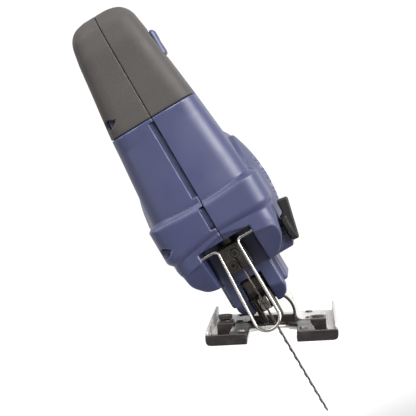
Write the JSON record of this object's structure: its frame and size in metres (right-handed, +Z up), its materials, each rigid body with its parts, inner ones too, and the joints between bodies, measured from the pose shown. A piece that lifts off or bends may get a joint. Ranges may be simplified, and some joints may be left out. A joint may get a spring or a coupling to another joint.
{
  "type": "jigsaw power tool",
  "caption": "Corded D-handle jigsaw with a clamshell body, a gear-driven plunger and blade, a pendulum roller guide, a wire guard and a tilting sole plate.",
  "frame": {"origin": "the point of the blade's line that lies in the plane of the sole, with the shoe tilted as it rests here", "axes": "+Z up along the plunger and the blade, -Y the cutting direction, +X to the tool's left side; body upright, shoe tilted 27.5 degrees about Y"},
  "size_m": [0.0866, 0.221, 0.281],
  "materials": {
    "blue_plastic": "satin moulded, fine texture",
    "soft_grip": "matte soft grip",
    "black_plastic": "satin",
    "zinc_steel": "bright zinc plate",
    "black_steel": "satin black, worn edges",
    "dark_steel": "blackened, oiled",
    "blade_steel": "dark, heat-toned",
    "chrome_wire": "polished plate",
    "bearing_steel": "ground",
    "core_steel": "machined",
    "cast_alloy": "die cast",
    "bronze": "sintered bronze",
    "brass": "sheet brass",
    "copper": "enamelled copper",
    "carbon": "pressed carbon"
  },
  "bodies": {
    "housing": {"housing_left": "blue_plastic", "housing_right": "blue_plastic", "grip_cover_left": "soft_grip", "grip_cover_right": "soft_grip", "housing_screws": "dark_steel", "gear_frame": "cast_alloy", "plunger_bush_lower": "bronze", "plunger_bush_upper": "bronze", "gear_axle": "bearing_steel", "front_bearing": "bearing_steel", "rear_bearing": "bearing_steel", "motor_field": "core_steel", "field_coils": "copper", "brush_holders": "brass", "carbon_brushes": "carbon", "brush_springs": "bearing_steel", "switch_box": "black_plastic", "inlet_bush": "black_plastic", "guide_pin": "bearing_steel", "bevel_clamp_plate": "dark_steel", "bevel_clamp_bolt": "dark_steel"},
    "shoe": {"base_plate": "zinc_steel", "shoe_front_cover": "black_steel", "bevel_saddle": "zinc_steel", "shoe_rivets": "bearing_steel", "fence_block_left": "black_steel", "fence_block_right": "black_steel"},
    "fence_screw": {"fence_screw": "dark_steel"},
    "plunger": {"plunger": "dark_steel", "blade_clamp": "dark_steel", "clamp_screws": "dark_steel", "blade": "blade_steel"},
    "gear": {"drive_gear": "core_steel"},
    "armature": {"pinion": "bearing_steel", "armature_shaft": "bearing_steel", "armature_core": "core_steel", "armature_windings": "copper", "commutator": "copper", "fan": "black_plastic"},
    "trigger": {"trigger": "black_plastic"},
    "lock_button": {"lock_button": "blue_plastic"},
    "selector": {"orbit_selector": "black_plastic"},
    "guide": {"roller_guide": "dark_steel", "roller_pin": "bearing_steel"},
    "roller": {"guide_roller": "bearing_steel"},
    "guard": {"wire_guard": "chrome_wire"}
  },
  "joints": [
    {"name": "bevel_tilt", "type": "hinge", "parent": "housing", "child": "shoe", "pos_m": [0, 0.049, 0.00902], "axis": [0, 1, 0], "range_deg": [-72.5, 17.5]},
    {"name": "fence_screw_turn", "type": "hinge", "parent": "shoe", "child": "fence_screw", "pos_m": [-0.02347, -0.034, 0.02349], "axis": [0.4617, 0, 0.887], "continuous": true},
    {"name": "plunger_stroke", "type": "slide", "parent": "housing", "child": "plunger", "axis": [0, 0, 1], "range_m": [-0.015, 0.003]},
    {"name": "armature_spin", "type": "hinge", "parent": "housing", "child": "armature", "pos_m": [0, 0.05, 0.092], "axis": [0, 1, 0], "continuous": true},
    {"name": "gear_spin", "type": "hinge", "parent": "housing", "child": "gear", "pos_m": [0, 0.012, 0.118], "axis": [0, 1, 0], "continuous": true},
    {"name": "trigger_pull", "type": "slide", "parent": "housing", "child": "trigger", "axis": [0, 0, 1], "range_m": [0, 0.005], "stiffness_N_per_m": 800, "springref_m": -0.002},
    {"name": "lock_press", "type": "slide", "parent": "housing", "child": "lock_button", "axis": [-1, 0, 0], "range_m": [0, 0.0025], "stiffness_N_per_m": 800, "springref_m": -0.001},
    {"name": "orbit_select", "type": "hinge", "parent": "housing", "child": "selector", "pos_m": [0.035, 0.006, 0.0525], "axis": [-1, 0, 0], "range_deg": [0, 75]},
    {"name": "guide_swing", "type": "hinge", "parent": "housing", "child": "guide", "pos_m": [0, 0.017, 0.0345], "axis": [1, 0, 0], "range_deg": [0, 4], "stiffness_Nm_per_rad": 0.05, "springref_deg": -5.73},
    {"name": "roller_spin", "type": "hinge", "parent": "guide", "child": "roller", "pos_m": [0, 0.0092, 0.02], "axis": [1, 0, 0], "continuous": true},
    {"name": "guard_swing", "type": "hinge", "parent": "housing", "child": "guard", "pos_m": [0, -0.02, 0.063], "axis": [-1, 0, 0], "range_deg": [0, 50]}
  ],
  "couplings": [
    {"joint": "gear_spin", "follows": "armature_spin", "ratio": -0.16071}
  ]
}
